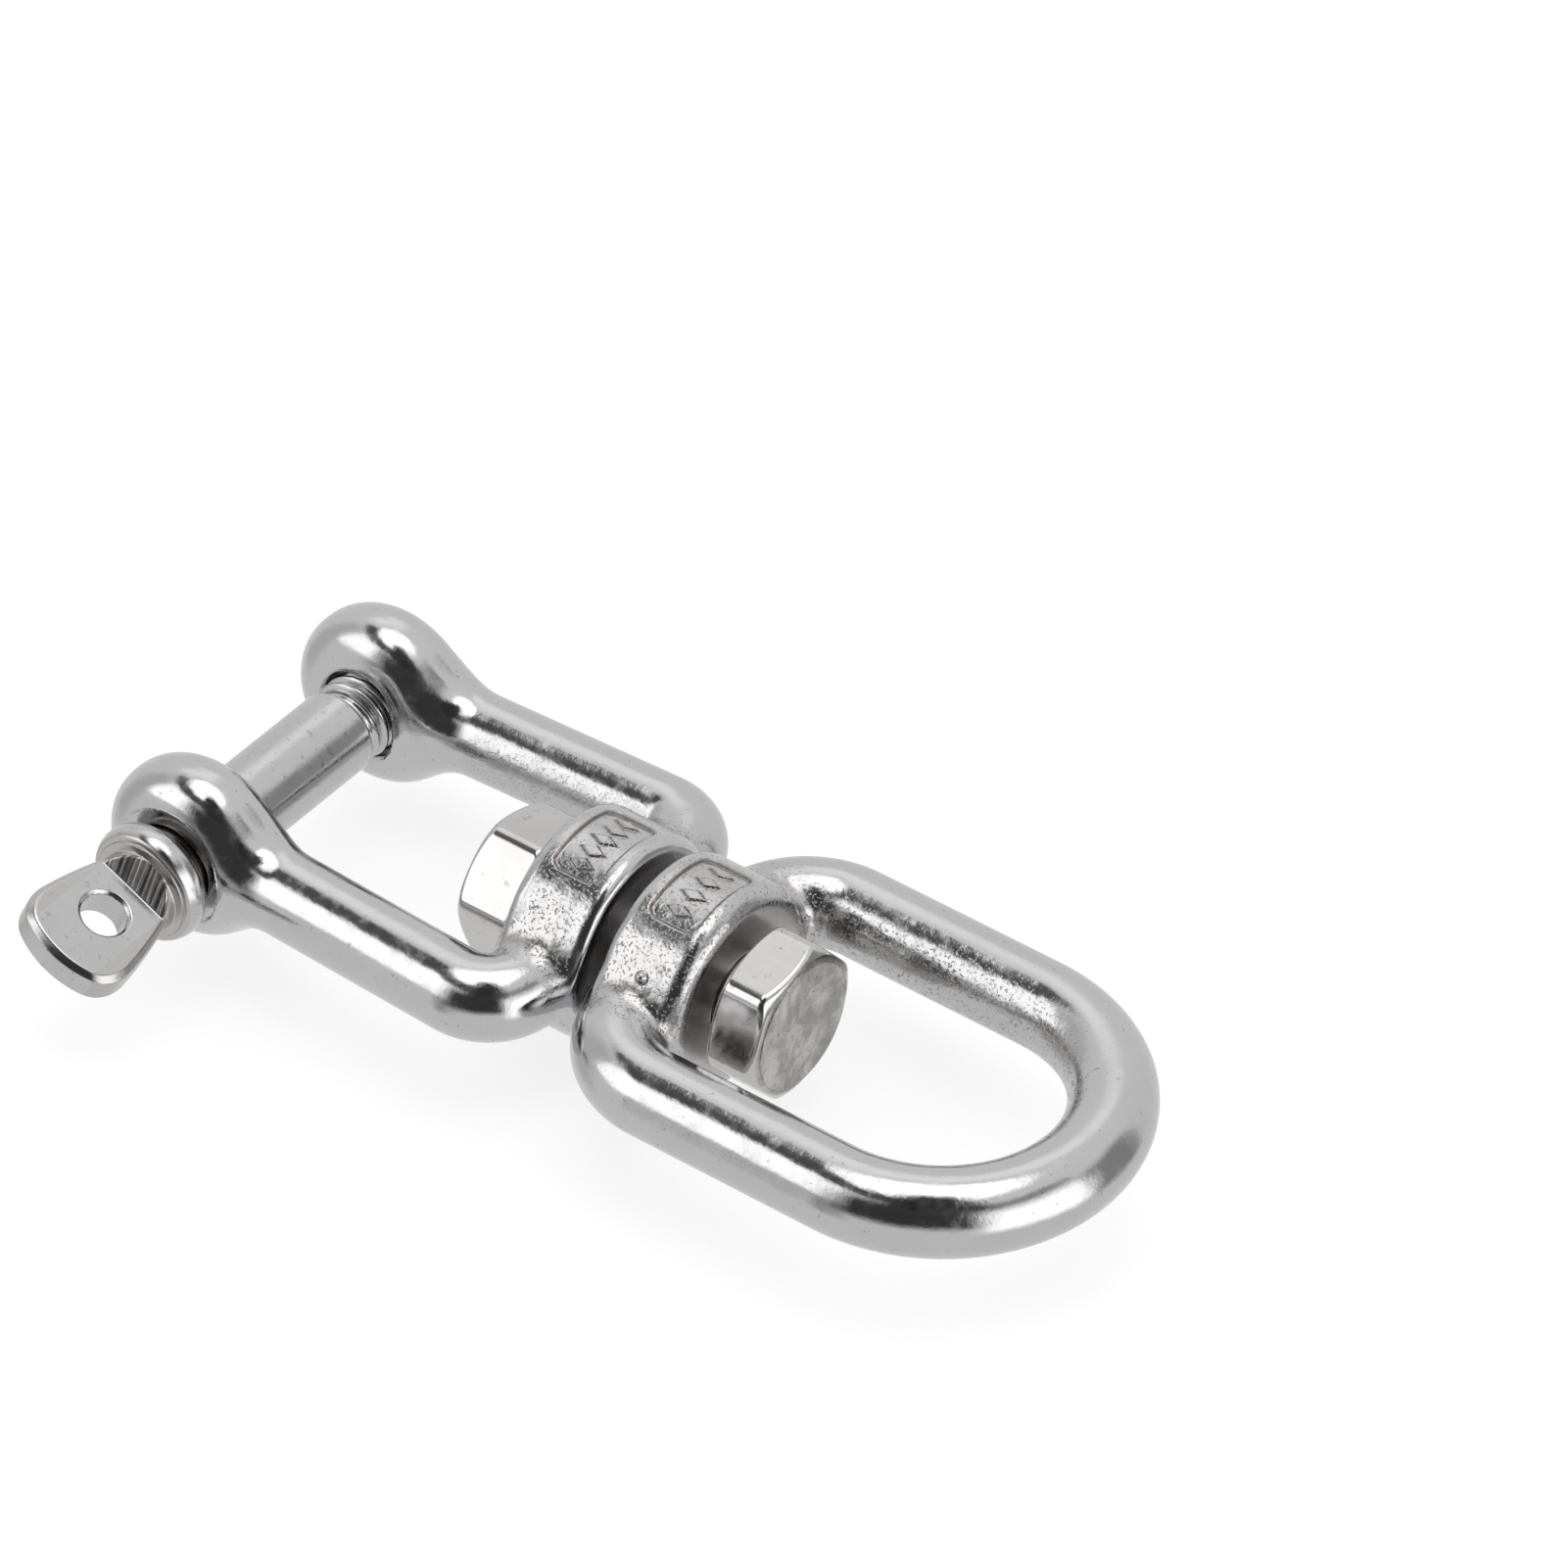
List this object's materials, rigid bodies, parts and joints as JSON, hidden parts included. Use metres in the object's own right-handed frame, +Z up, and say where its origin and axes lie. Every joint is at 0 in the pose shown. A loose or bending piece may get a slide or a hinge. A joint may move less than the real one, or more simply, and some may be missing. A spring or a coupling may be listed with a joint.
{
  "type": "anchor swivel",
  "caption": "Jaw-and-eye swivel that joins an anchor to its chain and lets the two turn, with a screw pin across the jaw.",
  "frame": {"origin": "clevis pin axis, midway between the two ears of the jaw", "axes": "+X along the swivel axis from the jaw to the eye, +Y along the clevis pin towards its screwed tip, +Z up when the swivel lies flat"},
  "size_m": [0.0986, 0.0532, 0.02],
  "materials": {
    "cast_steel": "investment-cast stainless, mirror-polished outside, with cast pitting left in the corners",
    "bolt_steel": "smooth bright stainless with light tool marks",
    "weld_steel": "weld ground flush, mottled satin",
    "pin_steel": "turned satin stainless with a polished collar"
  },
  "bodies": {
    "jaw": {"jaw_bow": "cast_steel"},
    "stud": {"swivel_bolt": "bolt_steel", "swivel_nut": "bolt_steel", "nut_lock_weld": "weld_steel"},
    "eye": {"eye_bow": "cast_steel"},
    "pin": {"clevis_pin": "pin_steel"}
  },
  "joints": [
    {"name": "stud_turn", "type": "hinge", "parent": "jaw", "child": "stud", "pos_m": [0.0399, 0, 0], "axis": [1, 0, 0], "continuous": true},
    {"name": "eye_swivel", "type": "hinge", "parent": "stud", "child": "eye", "pos_m": [0.0399, 0, 0], "axis": [1, 0, 0], "continuous": true},
    {"name": "pin_draw", "type": "slide", "parent": "jaw", "child": "pin", "axis": [0, -1, 0], "range_m": [-0.0012, 0.036]}
  ]
}
